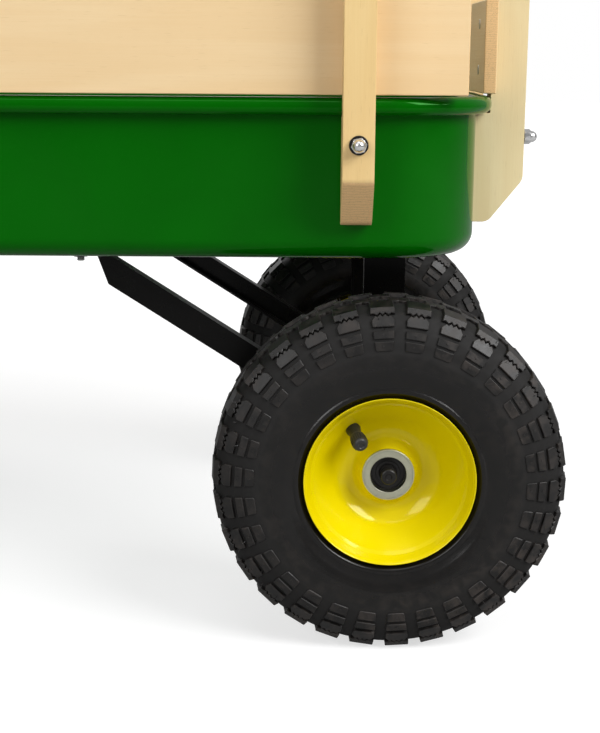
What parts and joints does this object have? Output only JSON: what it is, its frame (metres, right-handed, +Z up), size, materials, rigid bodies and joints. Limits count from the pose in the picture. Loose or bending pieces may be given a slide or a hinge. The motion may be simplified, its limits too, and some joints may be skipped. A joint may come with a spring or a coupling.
{
  "type": "pull-along hay wagon",
  "caption": "Pull-along wagon: pressed steel tray with wooden stake racks, air-filled tyres on dished rims, a steered front axle and a tilting loop handle.",
  "frame": {"origin": "on the floor, under the middle of the wagon's whole box with its handle laid down", "axes": "+X forwards to the handle, +Y to the wagon's left, +Z up"},
  "size_m": [1.7886, 0.5294, 0.5845],
  "materials": {
    "green_paint": "gloss",
    "black_paint": "satin",
    "yellow_paint": "gloss",
    "wood": "varnished",
    "zinc": "zinc plated",
    "hub_zinc": "zinc plated",
    "cap_nut_chrome": "polished",
    "tyre": "matt",
    "valve_rubber": "satin",
    "grip_rubber": "matt"
  },
  "bodies": {
    "root": {"tray": "green_paint", "rear_axle_bracket": "black_paint", "rear_brace_left": "black_paint", "rear_brace_right": "black_paint", "rear_axle": "zinc", "bracket_bolts": "zinc", "brace_bolts": "zinc", "pivot_bolts": "zinc", "front_pivot_plate": "black_paint", "kingpin": "zinc", "stakes_left": "wood", "slats_left": "wood", "rack_bolts_left": "cap_nut_chrome", "stakes_right": "wood", "slats_right": "wood", "rack_bolts_right": "cap_nut_chrome", "stakes_front": "wood", "slats_front": "wood", "rack_bolts_front": "cap_nut_chrome", "stakes_rear": "wood", "slats_rear": "wood", "rack_bolts_rear": "cap_nut_chrome"},
    "steering": {"turntable": "black_paint", "front_axle_bracket": "black_paint", "front_axle": "zinc", "tongue_arm_left": "black_paint", "tongue_arm_right": "black_paint", "tongue_pin": "zinc"},
    "handle": {"handle_yoke": "black_paint", "handle_shaft": "black_paint", "handle_loop": "black_paint", "handle_grip": "grip_rubber"},
    "wheel_rear_left": {"tyre_rear_left": "tyre", "rim_rear_left": "yellow_paint", "hub_rear_left": "hub_zinc", "valve_rear_left": "valve_rubber"},
    "wheel_rear_right": {"tyre_rear_right": "tyre", "rim_rear_right": "yellow_paint", "hub_rear_right": "hub_zinc", "valve_rear_right": "valve_rubber"},
    "wheel_front_left": {"tyre_front_left": "tyre", "rim_front_left": "yellow_paint", "hub_front_left": "hub_zinc", "valve_front_left": "valve_rubber"},
    "wheel_front_right": {"tyre_front_right": "tyre", "rim_front_right": "yellow_paint", "hub_front_right": "hub_zinc", "valve_front_right": "valve_rubber"}
  },
  "joints": [
    {"name": "steer", "type": "hinge", "parent": "root", "child": "steering", "pos_m": [-0.07832, 0, 0.2775], "axis": [0, 0, 1], "range_deg": [-28, 28]},
    {"name": "handle_tilt", "type": "hinge", "parent": "steering", "child": "handle", "pos_m": [0.13668, 0, 0.165], "axis": [0, -1, 0], "range_deg": [0, 101.5]},
    {"name": "spin_rear_left", "type": "hinge", "parent": "root", "child": "wheel_rear_left", "pos_m": [-0.76432, 0.22, 0.13], "axis": [0, 1, 0], "continuous": true},
    {"name": "spin_rear_right", "type": "hinge", "parent": "root", "child": "wheel_rear_right", "pos_m": [-0.76432, -0.22, 0.13], "axis": [0, 1, 0], "continuous": true},
    {"name": "spin_front_left", "type": "hinge", "parent": "steering", "child": "wheel_front_left", "pos_m": [-0.07832, 0.22, 0.13], "axis": [0, 1, 0], "continuous": true},
    {"name": "spin_front_right", "type": "hinge", "parent": "steering", "child": "wheel_front_right", "pos_m": [-0.07832, -0.22, 0.13], "axis": [0, 1, 0], "continuous": true}
  ]
}
